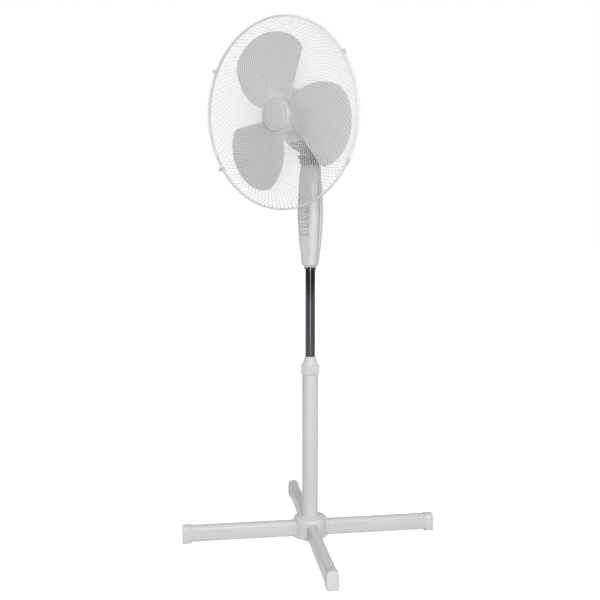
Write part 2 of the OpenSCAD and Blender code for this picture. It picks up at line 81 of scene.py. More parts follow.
def on_shaft(x, up, out):
    """Millimetres from the middle of the motor: right, up, and out along the shaft."""
    return SHAFT + mixed(x, up, out, RIGHT, UPWARD, FORWARD)


def on_neck(x, back, up):
    """Millimetres from the tilt pivot: right, back and up, all tilted with the head."""
    return PIVOT + mixed(x, back, up, RIGHT, -FORWARD, UPWARD)


print("shaft at", SHAFT.round(4), "pointing", FORWARD.round(4))

# %% [markdown]
# ## From points to a mesh
#
# Nearly every part of a fan is either turned, like the pole and the motor cover, or a section
# carried along a path, like a leg or a wire. Both are a grid of points, so one function lists the
# quads of a grid and another puts the points and quads into a mesh. Points that fall together at a
# seam or a pole are merged, and the faces are then turned outwards.


# %% Faces of a grid, and the piece made from them
def grid_faces(rows, columns, wrap_rows=False, wrap_columns=False):
    """One quad for each point: the point, the next across, the next across and along, the next along."""
    row, column = np.meshgrid(np.arange(rows if wrap_rows else rows - 1),
                              np.arange(columns if wrap_columns else columns - 1), indexing="ij")
    next_row, next_column = (row + 1) % rows, (column + 1) % columns
    corners = [row * columns + column, row * columns + next_column,
               next_row * columns + next_column, next_row * columns + column]
    return np.stack(corners, -1).reshape(-1, 4)


def fill_mesh(name, surfaces):
    """Joins surfaces, each a pair of points and faces, into one mesh whose doubles are merged."""
    points, faces, used = [], [], 0
    for surface_points, surface_faces in surfaces:
        flat = np.asarray(surface_points, float).reshape(-1, 3)
        points.append(flat)
        faces += [[used + int(corner) for corner in face] for face in surface_faces]
        used += len(flat)
    mesh = bpy.data.meshes.new(name)
    mesh.from_pydata(np.concatenate(points), [], faces)
    work = bmesh.new()
    work.from_mesh(mesh)
    bmesh.ops.remove_doubles(work, verts=work.verts, dist=2e-6)
    bmesh.ops.dissolve_degenerate(work, edges=work.edges, dist=1e-6)
    bmesh.ops.recalc_face_normals(work, faces=work.faces)
    work.to_mesh(mesh)
    work.free()
    return mesh


def make_piece(name, surfaces, body, finish, stands_for, sharp=35.0):
    """Makes the mesh, shades it smooth up to the sharp angle, and hangs it on its CAD body."""
    mesh = fill_mesh(name, surfaces)
    mesh.polygons.foreach_set("use_smooth", np.ones(len(mesh.polygons), bool))
    mesh.set_sharp_from_angle(angle=np.radians(sharp))
    mesh.materials.append(finish)
    piece = bpy.data.objects.new(name, mesh)
    bpy.context.scene.collection.objects.link(piece)
    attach(piece, body)
    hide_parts(*stands_for)
    print(f"{name}: {len(mesh.polygons)} faces on {body}")
    return piece


# %% [markdown]
# Moulded and pressed parts have no knife edges. Flat-sided parts get theirs from a Bevel modifier,
# and shells drawn as one skin get their wall from a Solidify modifier.


# %% Edge rounding and wall thickness as modifiers
def round_edges(piece, width, angle=40.0):
    """Rounds every edge sharper than the angle, over the width in millimetres."""
    bevel = piece.modifiers.new("rounded edges", "BEVEL")
    bevel.width = width * MM
    bevel.segments = 3
    bevel.limit_method = "ANGLE"
    bevel.angle_limit = np.radians(angle)
    return piece


def give_wall(piece, thickness):
    """Gives a skin its wall, grown inwards by the thickness in millimetres."""
    wall = piece.modifiers.new("wall", "SOLIDIFY")
    wall.thickness = thickness * MM
    wall.offset = -1.0
    wall.use_even_offset = True
    return piece


# %% [markdown]
# A turned part is a closed outline of radius and height carried once round an axis. The outline is
# written as corner points, and each corner is rounded by the amount that its tool or mould leaves.


# %% Rounded outlines and turned parts
def soften(corners, radius, steps=5):
    """Each corner becomes a quadratic curve from one radius before it to one radius after it."""
    corners = np.asarray(corners, float)
    radius = np.broadcast_to(np.asarray(radius, float), len(corners))
    before, after = np.roll(corners, 1, 0) - corners, np.roll(corners, -1, 0) - corners
    before_length = np.linalg.norm(before, axis=1)
    after_length = np.linalg.norm(after, axis=1)
    start = corners + before * (np.minimum(radius, 0.48 * before_length) / before_length)[:, None]
    end = corners + after * (np.minimum(radius, 0.48 * after_length) / after_length)[:, None]
    s = np.linspace(0, 1, steps)[None, :, None]
    curve = (1 - s) ** 2 * start[:, None] + 2 * s * (1 - s) * corners[:, None] + s ** 2 * end[:, None]
    return curve.reshape(-1, 2)


def turned(outline, place, turns=96, ripple=None):
    """At angle a, radius r and height h the point is (r cos a, r sin a, h); ripple(a, r, h) may change r."""
    radius, height = np.asarray(outline, float).T
    angle = np.linspace(0, 2 * np.pi, turns, endpoint=False)
    radius, height, angle = radius[:, None], height[:, None], angle[None, :]
    if ripple is not None:
        radius = ripple(angle, radius, height)
    points = place(radius * np.cos(angle), radius * np.sin(angle), height + 0 * angle)
    return points, grid_faces(len(outline), turns, True, True)


# %% [markdown]
# A section carried along a path is the other family. The section here is nearly always a rectangle
# with rounded corners. Its size and corners may change from ring to ring, which gives the tapering
# housing and the domed end caps with the same few lines.


# %% Rounded sections and lofted parts
def rounded_section(half_width, low, high, top_corner, low_corner, steps=9):
    """Outline of a rectangle from -half_width to half_width and from low to high.

    It is four quarter circles joined by straight lines, with one row for each ring.
    """
    half_width, low, high, top_corner, low_corner = (
        np.atleast_1d(value)[:, None].astype(float)
        for value in np.broadcast_arrays(half_width, low, high, top_corner, low_corner))
    quarter = np.arange(4).repeat(steps)
    angle = np.pi / 2 * (quarter + np.tile(np.linspace(0, 1, steps), 4))
    side = np.array([1, -1, -1, 1])[quarter]
    corner = np.where(quarter < 2, top_corner, low_corner)
    across = side * (half_width - corner) + corner * np.cos(angle)
    middle = np.where(quarter < 2, high - corner, low + corner)
    return across, middle + corner * np.sin(angle)


def lofted(points, closed=False):
    """Skin over a stack of rings; it is closed on itself, or ends in two flat caps."""
    rings, around = points.shape[:2]
    faces = grid_faces(rings, around, closed, True).tolist()
    if not closed:
        faces += [list(range(around))[::-1], list(range((rings - 1) * around, rings * around))]
    return points, faces


def prism(outline, low, high, place):
    """The outline at two heights, joined by straight sides."""
    first, second = np.asarray(outline, float).T
    height = np.array([[low], [high]], float)
    return lofted(place(first[None] + 0 * height, second[None] + 0 * height, height + 0 * first))


print("shape helpers ready")

# %% [markdown]
# ## Finishes
#
# Each material starts from what the real one is and how its surface was made. Colours are written
# as hex values, as on a paint card, and one function turns them into the linear numbers that the
# shader works with. One small function adds a node with its settings and links.


# %% Colour, node and material helpers
def linear(colour):
    """An sRGB channel c becomes c / 12.92 below 0.04045, else ((c + 0.055) / 1.055) to the power 2.4."""
    channels = np.array([int(colour[start:start + 2], 16) for start in (1, 3, 5)]) / 255
    light = np.where(channels < 0.04045, channels / 12.92, ((channels + 0.055) / 1.055) ** 2.4)
    return (*light.tolist(), 1.0)


def add_node(tree, kind, sockets=None, **settings):
    """Adds a node; each socket is given a value, or a link if its value is another node's socket."""
    node = tree.nodes.new(kind)
    for name, value in settings.items():
        setattr(node, name, value)
    for name, value in (sockets or {}).items():
        if isinstance(value, bpy.types.NodeSocket):
            tree.links.new(value, node.inputs[name])
        else:
            node.inputs[name].default_value = value
    return node


def start_material(name, roughness, metallic=0.0, ior=None):
    """A material with its shader's constants set, and the socket with the object's own coordinates."""
    material = bpy.data.materials.new(name)
    material.use_nodes = True
    tree = material.node_tree
    shader = tree.nodes["Principled BSDF"]
    shader.inputs["Roughness"].default_value = roughness
    shader.inputs["Metallic"].default_value = metallic
    if ior is not None:
        shader.inputs["IOR"].default_value = ior
    return material, tree, shader, add_node(tree, "ShaderNodeTexCoord").outputs["Object"]


# %% [markdown]
# Three things keep a real surface from looking computed: its colour drifts a little over some
# centimetres, its gloss changes where it was handled, and it has a fine relief from the mould or
# the spray. One function adds all three, with the size of each in millimetres.


# %% Drift, gloss change and fine relief
def surface_life(tree, shader, place, colours, drift, roughness, handled, grain, height):
    """Colour drifts over `drift` mm and gloss over `handled` mm; a grain is `grain` wide, `height` high."""
    wide = add_node(tree, "ShaderNodeTexNoise", {"Vector": place, "Scale": 1000 / drift, "Detail": 2.0})
    colour = add_node(tree, "ShaderNodeMix", {"Factor": wide.outputs["Fac"]}, data_type="RGBA")
    colour.inputs[6].default_value = linear(colours[0])
    colour.inputs[7].default_value = linear(colours[1])
    tree.links.new(colour.outputs[2], shader.inputs["Base Color"])
    touched = add_node(tree, "ShaderNodeTexNoise", {"Vector": place, "Scale": 1000 / handled, "Detail": 3.0})
    gloss = add_node(tree, "ShaderNodeMapRange", {
        "Value": touched.outputs["Fac"], "From Min": 0.3, "From Max": 0.7,
        "To Min": roughness[0], "To Max": roughness[1]})
    tree.links.new(gloss.outputs["Result"], shader.inputs["Roughness"])
    fine = add_node(tree, "ShaderNodeTexNoise", {"Vector": place, "Scale": 1000 / grain, "Detail": 2.0})
    relief = add_node(tree, "ShaderNodeBump", {"Height": fine.outputs["Fac"], "Strength": 1.0,
                                               "Distance": height * MM})
    tree.links.new(relief.outputs["Normal"], shader.inputs["Normal"])
    return colour


def lived_in(name, start_roughness, colours, drift, roughness, handled, grain, height, **kind):
    """A material that needs nothing beyond its life; `kind` is its metallic or ior value."""
    material, tree, shader, place = start_material(name, start_roughness, **kind)
    surface_life(tree, shader, place, colours, drift, roughness, handled, grain, height)
    return material


# %% [markdown]
# The housing, motor cover, collar, hub cover and end caps are moulded in light grey-white ABS. Its
# mould is lightly spark eroded, so it is satin and not glossy. The real grain is about 0.1 mm; it
# is drawn at 0.5 mm so that it still breaks up the highlights. The buttons come from a polished
# mould and are glossier, and the badge is a little greyer. The neck, the swivel bracket and the tilt
# post get a darker grey: painted shade that stands in for the shadow under the motor head.

# %% Moulded ABS in three shades, and a grey of painted shade
moulded_abs = lived_in("moulded_white_ABS", 0.42, ("#d9d9d9", "#dededd"), 90, (0.36, 0.48), 35, 0.5,
                       0.006, ior=1.53)
button_abs = lived_in("polished_button_ABS", 0.3, ("#d6d6d6", "#dbdbda"), 30, (0.25, 0.36), 8, 0.5,
                      0.002, ior=1.53)
badge_abs = lived_in("pale_grey_badge_ABS", 0.34, ("#cdced0", "#d3d4d5"), 25, (0.28, 0.4), 10, 0.5,
                     0.003, ior=1.53)
# Painted shade: this darker grey stands in for the shadow under the motor head, on parts of the same pale
# plastic.
neck_painted_shade_abs = lived_in("neck_ABS_painted_shade_grey", 0.5, ("#77777a", "#7d7d80"), 60, (0.44, 0.56), 20, 0.5,
                      0.006, ior=1.53)
print(moulded_abs.name, button_abs.name, badge_abs.name, neck_painted_shade_abs.name)

# %% [markdown]
# The legs and the lower pole are steel tube with a sprayed powder coat. Baked powder levels into a
# faint orange peel with waves of 2 to 3 mm, which shows only as a slight unrest in the reflections.

# %% Powder-coated steel
powder_coat = lived_in("powder_coated_steel", 0.4, ("#d7d7d7", "#dbdbdb"), 140, (0.34, 0.44), 50, 2.5,
                       0.012, ior=1.5)
print(powder_coat.name)

# %% [markdown]
# The upper pole is drawn steel tube with a chrome plating, a mirror that shows the room as upright
# bands. Its colour is painted dark: a painted reflection of dark surroundings, darker than a chrome
# that mirrors this pale studio. Plating levels out nearly everything, so only a very slight drift of
# its colour and a few dull handling marks are left. A metal keeps the default index of refraction.

# %% Chromed tube with a painted dark reflection
# Painted reflection: the dark grey colour stands in for dark surroundings mirrored in the chrome.
chrome_painted_dark_reflection = lived_in("chromed_tube_painted_dark_reflection", 0.08, ("#404043", "#48484b"), 120, (0.06, 0.12), 25, 30.0,
                        0.002, metallic=1.0)
print(chrome_painted_dark_reflection.name)

# %% [markdown]
# The cage is welded steel wire, dipped or sprayed white. The coat runs smooth and glossy over the
# round wire and gathers a little at the welds, so its gloss changes every few centimetres.

# %% Coated wire
coated_wire = lived_in("white_coated_wire", 0.3, ("#ededee", "#f3f3f4"), 60, (0.26, 0.38), 30, 1.5,
                       0.004, ior=1.5)
print(coated_wire.name)

# %% [markdown]
# The blades are moulded in silver-grey ABS. The pigment holds fine metal flakes that settle along
# the flow of the melt, which gives a soft sheen and a slightly cloudy colour. The flakes are
# 0.05 mm in reality and are drawn at 0.6 mm, as a weak change of colour.

# %% Silver-grey blade plastic
blade_abs, tree, shader, place = start_material("silver_grey_blade_ABS", 0.38, metallic=0.12, ior=1.53)
flow = surface_life(tree, shader, place, ("#d0d1d3", "#d5d6d8"), 70, (0.33, 0.44), 30, 0.6, 0.003)
flakes = add_node(tree, "ShaderNodeTexVoronoi", {"Vector": place, "Scale": 1000 / 0.6})
tint = add_node(tree, "ShaderNodeMapRange", {"Value": flakes.outputs["Distance"],
                                             "To Min": 1.03, "To Max": 0.97})
flaked = add_node(tree, "ShaderNodeVectorMath", operation="SCALE")
tree.links.new(flow.outputs[2], flaked.inputs[0])
tree.links.new(tint.outputs["Result"], flaked.inputs["Scale"])
tree.links.new(flaked.outputs[0], shader.inputs["Base Color"])
print(blade_abs.name)

# %% [markdown]
# The parts inside the fan are seen only through gaps, but they get the finish of the real ones too:
# zinc-plated screws and link, nylon and acetal sliding parts, a lacquered capacitor can, rubber.
# Zinc dries in crystal patches a few millimetres wide, which a Voronoi pattern gives.

# %% Zinc plate, sliding plastics, can lacquer and rubber
zinc_plate, tree, shader, place = start_material("zinc_plated_steel", 0.35, metallic=1.0)
mix = surface_life(tree, shader, place, ("#a9abae", "#b6b8bb"), 20, (0.3, 0.42), 6, 0.8, 0.002)
crystals = add_node(tree, "ShaderNodeTexVoronoi", {"Vector": place, "Scale": 1000 / 3.0})
tree.links.new(crystals.outputs["Color"], mix.inputs["Factor"])
black_nylon = lived_in("black_nylon", 0.55, ("#262627", "#2d2d2e"), 40, (0.5, 0.62), 12, 0.6, 0.005, ior=1.53)
white_acetal = lived_in("white_acetal", 0.4, ("#dcdcd9", "#e3e3e0"), 40, (0.35, 0.46), 12, 0.6,
                        0.003, ior=1.48)
switch_nylon = lived_in("ivory_switch_nylon", 0.5, ("#d3cdb6", "#dbd6c2"), 30, (0.45, 0.58), 10, 0.6,
                        0.004, ior=1.53)
can_lacquer = lived_in("capacitor_can_lacquer", 0.45, ("#474b51", "#50545a"), 20, (0.4, 0.5), 8, 1.0,
                       0.003, ior=1.5)
gland_rubber = lived_in("moulded_black_rubber", 0.75, ("#1b1b1b", "#232323"), 10, (0.68, 0.82), 4, 0.4,
                        0.01, ior=1.52)
print("small parts' finishes ready")

# %% [markdown]
# The motor has three finishes of its own. Its cores are stacks of 0.5 mm sheet steel, so fine lines
# cross their edges; they are drawn 1 mm apart. The coils are lacquered copper wire, 0.6 mm thick and
# drawn at 1 mm, wound round the shaft. The end bells are cast, so they are dull and slightly pitted.
# The lines stand square to the shaft, so the pattern is turned with the head's tilt.

# %% Laminated steel, lacquered copper, cast alloy, bronze and ground steel
TILT = float(np.arctan2(-UPWARD[1], UPWARD[2]))


def stacked_lines(tree, shader, place, pitch, height):
    """Adds a relief of lines `pitch` mm apart, square to the shaft: a sine of the distance along it."""
    turned_place = add_node(tree, "ShaderNodeMapping", {"Vector": place, "Rotation": (-TILT, 0.0, 0.0)})
    lines = add_node(tree, "ShaderNodeTexWave", {"Vector": turned_place.outputs["Vector"],
                                                 "Scale": 1000 / pitch / 20 * np.pi, "Distortion": 0.3},
                     bands_direction="Y")
    relief = add_node(tree, "ShaderNodeBump", {"Height": lines.outputs["Fac"], "Distance": height * MM})
    tree.links.new(relief.outputs["Normal"], shader.inputs["Normal"])


core_steel, tree, shader, place = start_material("laminated_core_steel", 0.45, metallic=1.0)
surface_life(tree, shader, place, ("#77787a", "#828385"), 15, (0.4, 0.55), 5, 0.5, 0.002)
stacked_lines(tree, shader, place, 1.0, 0.05)
coil_copper, tree, shader, place = start_material("lacquered_copper_wire", 0.3, metallic=0.8)
surface_life(tree, shader, place, ("#a4562c", "#b8683a"), 10, (0.25, 0.4), 4, 0.5, 0.002)
stacked_lines(tree, shader, place, 1.0, 0.2)
cast_alloy = lived_in("cast_aluminium", 0.5, ("#b4b5b7", "#bdbec0"), 20, (0.45, 0.6), 8, 0.8,
                      0.02, metallic=1.0)
bearing_bronze = lived_in("sintered_bronze", 0.5, ("#b08a48", "#bd9856"), 6, (0.45, 0.6), 3, 0.4,
                          0.01, metallic=1.0)
ground_steel = lived_in("ground_shaft_steel", 0.2, ("#b9babc", "#c2c3c5"), 30, (0.16, 0.26), 6, 0.4,
                        0.001, metallic=1.0)
print("motor finishes ready")

# %% [markdown]
# ## Carried-over parts
#
# Screws, the motor's inside, the gearbox and the other hidden parts keep their CAD shape, which is
# already right. Only their material is changed.

# %% Finishes of the parts that keep their CAD mesh
kept_finish = {
    zinc_plate: ["pole_foot", "base_screws", "housing_screws", "pole_set_screw", "tilt_bolt",
                 "link_bar", "motor_cover_screws", "motor_bolts", "crank"],
    white_acetal: ["pole_collet"],
    black_nylon: ["slide_bush"],
    switch_nylon: ["switch_block", "gearbox"],
    can_lacquer: ["capacitor"],
    gland_rubber: ["cable_gland"],
    # painted shade: the tilt post gets the darker grey that stands in for the shadow under the head
    neck_painted_shade_abs: ["tilt_post"],
    core_steel: ["stator_core", "rotor_core"],
    coil_copper: ["stator_coils"],
    cast_alloy: ["end_bell_front", "end_bell_rear"],
    bearing_bronze: ["bearing_front", "bearing_rear"],
    ground_steel: ["motor_shaft"],
}
for finish, names in kept_finish.items():
    for name in names:
        for material_slot in frame["nodes"][name].material_slots:
            material_slot.material = finish
print("kept nodes:", sum(len(names) for names in kept_finish.values()))

# %% [markdown]
# ## Cross base
#
# The two legs are tubes set on edge, with a well rounded top and a smaller round below. They cross
# under the pole, and each gives up half its height there so that both lie level. The tube is drawn as
# a skin that runs out along its outside and back along its inside; where the bars cross, its rings
# are pressed flat at the middle height, which is what cutting half the tube away leaves.

# %% Leg tubes, half lapped
LEG_REACH, CAP_WALL = 315.0, 2.2
BAR_LOW, BAR_HIGH, BAR_HALF = 4.5, 41.5, 13.0
LAP_HALF, LAP_HEIGHT, LAP_GAP = 13.3, 23.0, 0.1
BAR_TOP_CORNER, BAR_LOW_CORNER, BAR_WALL = 10.0, 5.0, 1.4
LEG_ANGLES = (-45, 45, 135, 225)


def turned_on_floor(degrees):
    """Placing function for a part whose own x axis points at this angle on the floor."""
    c, s = np.cos(np.radians(degrees)), np.sin(np.radians(degrees))
    return lambda x, y, z: on_floor(x * c - y * s, x * s + y * c, z)


def leg_tube(degrees, keep_low):
    """Rings of the outer and inner section at six stations; the middle ones are clamped at the lap."""
    end = LEG_REACH - CAP_WALL - LAP_GAP
    station = np.array([-end, -LAP_HALF, -LAP_HALF, LAP_HALF, LAP_HALF, end])
    lapped = np.array([False, False, True, True, False, False])[:, None]
    rings = []
    for inset, order in ((0.0, 1), (BAR_WALL, -1)):
        across, height = rounded_section(np.full(len(station), BAR_HALF - inset), BAR_LOW + inset,
                                         BAR_HIGH - inset, BAR_TOP_CORNER - inset,
                                         BAR_LOW_CORNER - inset, 10)
        edge = LAP_HEIGHT + (-LAP_GAP - inset if keep_low else LAP_GAP + inset)
        pressed = np.minimum(height, edge) if keep_low else np.maximum(height, edge)
        height = np.where(lapped, pressed, height)
        rings.append(turned_on_floor(degrees)(station[:, None] + 0 * across, across, height)[::order])
    return lofted(np.concatenate(rings), closed=True)


make_piece("leg_tube_lower", [leg_tube(45, True)], "stand", powder_coat, ["cross_bar_lower"])
make_piece("leg_tube_upper", [leg_tube(-45, False)], "stand", powder_coat, ["cross_bar_upper"])

# %% [markdown]
# Each leg ends in a moulded cap that wraps the tube and stands on the floor. Seen from the end it is
# a slim arch on a rounded foot. Its rings run along the leg: the socket for the tube, the lip, the
# outside, and then a quarter round into the flat end face.

# %% End caps
CAP_LENGTH, CAP_ROUND, SOCKET_GAP = 23.0, 3.0, 0.1
CAP_HALF, CAP_HIGH, CAP_TOP_CORNER, CAP_LOW_CORNER = 14.4, 43.2, 11.4, 5.0


def end_cap(degrees):
    """Rings from the socket's floor to the lip, back along the outside, and round the end.

    The end is a quarter circle that runs out into the flat end face.
    """
    turn = np.radians(np.linspace(0, 90, 7))
    lip = LEG_REACH - CAP_LENGTH
    station = np.concatenate([[LEG_REACH - CAP_WALL, lip, lip, lip + 0.4],
                              LEG_REACH - CAP_ROUND + CAP_ROUND * np.sin(turn), [LEG_REACH, LEG_REACH]])
    inset = np.concatenate([[1.3, 1.3, 0.4, 0.0], CAP_ROUND * (1 - np.cos(turn)), [5.0, 9.0]])
    socket = np.arange(len(station)) < 2
    low = np.where(socket, BAR_LOW - SOCKET_GAP, inset)
    high = np.where(socket, BAR_HIGH + SOCKET_GAP, CAP_HIGH - inset)
    across, height = rounded_section(CAP_HALF - inset, low, high, CAP_TOP_CORNER - inset,
                                     np.maximum(CAP_LOW_CORNER - inset, 1.0), 10)
    return lofted(turned_on_floor(degrees)(station[:, None] + 0 * across, across, height))


for number, degrees in enumerate(LEG_ANGLES, 1):
    make_piece(f"leg_end_cap_{number}", [end_cap(degrees)], "stand", moulded_abs,
               [f"foot_cap_{number}"], sharp=50)

# %% [markdown]
# The hub cover hides the crossing. It is a turned pot with a straight wall, a rounded shoulder and a
# nearly flat top that closes round the pole, and it has a shallow arch over each leg.

# %% Hub cover
hub_outline = soften([[38.1, 1.5], [40.5, 1.5], [40.5, 49.0], [23.5, 55], [19.95, 55.5], [19.95, 52.9],
                      [22.5, 52.5], [38.1, 47.4]], [0.4, 0.6, 4.0, 1.5, 0.5, 0.3, 1.0, 3.0], 7)


def leg_sleeve(degrees):
    """Rings of the sleeve's outside and of its opening, with a small round at the mouth."""
    station = np.array([30, 40.2, 40.9, 41.2, 41.2, 40.9, 30])
    inset = np.array([0, 0, 0.25, 0.9, 2.0, 2.5, 2.5])
    inner = np.arange(7) > 4
    high = np.where(inner, 41.9, 45.3 - inset)
    low = np.where(inner, 1.7, 1.5 + 0.1 * inset)
    across, height = rounded_section(np.where(inner, 13.4, 16.5 - inset), low, high,
                                     np.where(inner, 10.4, 13.1 - inset), 0.6, 12)
    return lofted(turned_on_floor(degrees)(station[:, None] + 0 * across, across, height), closed=True)


make_piece("hub_cover_moulding", [turned(hub_outline, on_floor, 128)]
           + [leg_sleeve(degrees) for degrees in LEG_ANGLES],
           "stand", moulded_abs, ["base_hub_cover"])

# %% [markdown]
# ## Pole
#
# The lower pole is a plain steel tube. The upper one slides in it. Both are turned outlines with the
# small roll that a cut tube's end is given.

# %% Two pole tubes
lower_tube = soften([[19.8, 44.5], [19.8, 404], [18.3, 404], [18.3, 44.5]], 0.7)
upper_tube = soften([[12, 339.1], [12, 705], [10.8, 705], [10.8, 339.1]], 0.5)
make_piece("lower_pole_tube", [turned(lower_tube, on_floor)], "stand", powder_coat,
           ["outer_pole"])
# Painted reflection: the chrome is coloured dark to stand in for mirrored dark surroundings.
make_piece("upper_pole_tube", [turned(upper_tube, on_floor)], "mast", chrome_painted_dark_reflection,
           ["inner_pole"])

# %% [markdown]
# The height collar is gripped with the whole hand, so its lower ring has twenty-eight hollow
# flutes. They are not cut: the radius of the turned outline is made smaller by a rounded wave of the
# angle, and only between the ring's two edges.

# %% Height collar
COLLAR_LOW = 407.3
collar_outline = soften([[17.68, COLLAR_LOW], [20.8, COLLAR_LOW], [21.2, COLLAR_LOW + 1.2],
                         [22.9, COLLAR_LOW + 1.4], [22.9, COLLAR_LOW + 8], [22.9, COLLAR_LOW + 15],
                         [22.9, COLLAR_LOW + 22.6], [19.2, COLLAR_LOW + 23.6], [18.7, COLLAR_LOW + 25],
                         [13.1, COLLAR_LOW + 43.7], [12.4, COLLAR_LOW + 43.7], [12.4, COLLAR_LOW + 39.7],
                         [15.1, COLLAR_LOW + 38], [18.1, COLLAR_LOW + 21.5], [17.68, COLLAR_LOW + 21]],
                        [0.3, 0.5, 0.4, 1.0, 3, 3, 1.6, 0.8, 0.8, 0.9, 0.4, 0.4, 1, 0.6, 0.2], 6)


FLUTES = 28


def fluted(angle, radius, height):
    """Takes 0.9 mm times a rounded wave of the number of flutes times the angle off the grip's radius."""
    wave = np.clip(np.cos(FLUTES * angle), 0, 1) ** 0.7
    return radius - 0.9 * wave * (radius > 21.5)


make_piece("height_collar_moulding", [turned(collar_outline, on_floor, 12 * FLUTES, fluted)], "collar",
           moulded_abs, ["height_collar"])

# %% [markdown]
# ## Control housing
#
# The housing is two moulded halves that meet in a seam at the sides. Its section is a rectangle with
# large corners, narrow at the bottom, widest near the buttons and narrower again at the neck. One
# function gives the half outline at each height; the front half leaves out the quads where the four
# buttons come through. The wall thickness is added by a modifier.

# %% Form of the housing
HOUSING_LOW, HOUSING_WIDE, HOUSING_HIGH = 672.0, 798.0, 912.0
BUTTON_HEIGHT = 779.0 + 17.8 * np.array([-1.5, -0.5, 0.5, 1.5])
SLOT_HALF_WIDTH, SLOT_HALF_HEIGHT = 7.3, 4.8


def housing_size(z):
    """Half width, half depth and corner at height z.

    Each is its widest size less a share that grows with the distance from there to the power 1.5.
    """
    below = np.clip((HOUSING_WIDE - z) / (HOUSING_WIDE - HOUSING_LOW), 0, 1) ** 1.5
    above = np.clip((z - HOUSING_WIDE) / (HOUSING_HIGH - HOUSING_WIDE), 0, 1) ** 1.5
    return 28.5 - 9.5 * below - 6.5 * above, 23 - 5 * below - 3.5 * above, 15 - below - 1.5 * above


def housing_rings():
    """Height, half width, half depth and corner of each ring.

    They go from the pole's socket and its lip over a rounded lower edge, the walls and a rounded
    upper edge into the mouth.
    """
    turn = np.radians(np.linspace(0, 90, 7))
    slots = np.concatenate([BUTTON_HEIGHT - SLOT_HALF_HEIGHT, BUTTON_HEIGHT + SLOT_HALF_HEIGHT])
    wall = np.unique(np.concatenate([np.linspace(HOUSING_LOW + 4.5, HOUSING_HIGH - 3, 40), slots]))
    height = np.concatenate([HOUSING_LOW + 4 - 4 * np.cos(turn), wall,
                             HOUSING_HIGH - 2.5 + 2.5 * np.sin(turn)])
    inset = np.concatenate([4 - 4 * np.sin(turn), 0 * wall, 2.5 - 2.5 * np.cos(turn)])
    width, depth, corner = housing_size(height)
    width, depth, corner = width - inset, depth - inset, corner - inset
    low = np.array([[705, 12.3], [669, 12.3], [669, 13.6], [669.7, 14.4], [HOUSING_LOW, 14.4]])
    top = np.array([[HOUSING_HIGH, 13.4, 10.9, 1.0], [HOUSING_HIGH - 9, 13.4, 10.9, 1.0]])
    return (np.concatenate([low[:, 0], height, top[:, 0]]), np.concatenate([low[:, 1], width, top[:, 1]]),
            np.concatenate([low[:, 1], depth, top[:, 2]]), np.concatenate([low[:, 1], corner, top[:, 3]]))


def housing_half(side, slot_half=None, steps=11):
    """Half outlines from the right seam to the left one.

    Each is a straight side, a quarter circle, the flat front with a point at each edge of the
    slots, and the mirror of the first half.
    """
    z, a, b, r = (value[:, None] for value in housing_rings())
    angle = np.radians(np.linspace(0, 90, steps))[None]
    edge = np.minimum(slot_half or SLOT_HALF_WIDTH, 0.9 * np.maximum(a - r, 0) + 0.02)
    half_x = np.concatenate([a, a - r + r * np.cos(angle), edge], 1)
    half_y = np.concatenate([0 * a + 0.12, b - r + r * np.sin(angle), b], 1)
    x = np.concatenate([half_x, -half_x[:, ::-1]], 1)
    y = side * np.concatenate([half_y, half_y[:, ::-1]], 1)
    faces = grid_faces(*x.shape)
    if slot_half:
        row, column = np.divmod(faces[:, 0], x.shape[1])
        middle = 0.5 * (z[row, 0] + z[np.minimum(row + 1, len(z) - 1), 0])
        in_slot = np.abs(middle[:, None] - BUTTON_HEIGHT).min(1) < SLOT_HALF_HEIGHT
        in_slot &= (column == half_x.shape[1] - 1) & (row > 12) & (row < len(z) - 10)
        faces = faces[~in_slot]
    return on_floor(x, y, z + 0 * x), faces


# %% Front and rear housing
front = make_piece("housing_front_shell", [housing_half(-1, SLOT_HALF_WIDTH)], "mast",
                   moulded_abs, ["housing_front"], sharp=50)
rear = make_piece("housing_rear_shell", [housing_half(1)], "mast", moulded_abs,
                  ["housing_rear"], sharp=50)
for shell in (front, rear):
    give_wall(shell, 0.9)

# %% [markdown]
# Each push button is a small block with soft edges and a slightly hollow face for the fingertip. It
# stands in front of the housing, and a flange behind the wall keeps it from falling out. Its rings
# run from the stem to the flange, along the sides and into the middle of the face.

# %% Push buttons
BUTTON_FACE = -27.6


def push_button(height):
    """Rings from back to front.

    The last ones shrink to the middle while the face sinks by 1.2 mm times one minus the shrink squared.
    """
    turn = np.radians(np.linspace(0, 90, 6))
    shrink = np.array([0.75, 0.5, 0.25, 0.02])
    y = np.concatenate([[-9, -16.6, -16.6, -18.2, -18.2], BUTTON_FACE + 1.4 - 1.4 * np.sin(turn),
                        BUTTON_FACE + 1.2 * (1 - shrink ** 2)])
    half_width = np.concatenate([[4, 4, 8.2, 8.2, 7], 7 - 1.4 * (1 - np.cos(turn)), 5.6 * shrink])
    half_height = np.concatenate([[3, 3, 5.7, 5.7, 4.5], 4.5 - 1.4 * (1 - np.cos(turn)), 3.1 * shrink])
    corner = np.concatenate([[0.6, 0.6, 1, 1, 2.4], 2.4 - 0.8 * (1 - np.cos(turn)), 1.6 * shrink])
    across, up = rounded_section(half_width, height - half_height, height + half_height, corner, corner, 6)
    return lofted(on_floor(across, y[:, None] + 0 * across, up))


for name, height in zip(("off", "low", "medium", "high"), BUTTON_HEIGHT):
    make_piece(f"push_button_{name}", [push_button(height)], f"button_{name}",
               button_abs, [f"button_{name}"], sharp=50)

# %% [markdown]
# ## Neck and motor head
#
# The neck is a fork: two cheeks straddle the tilt post, and a plate joins them and carries the
# spigot that the head swings on. The cheeks widen upwards from a round end. They are prisms with
# rounded edges, in the head's tilted directions.

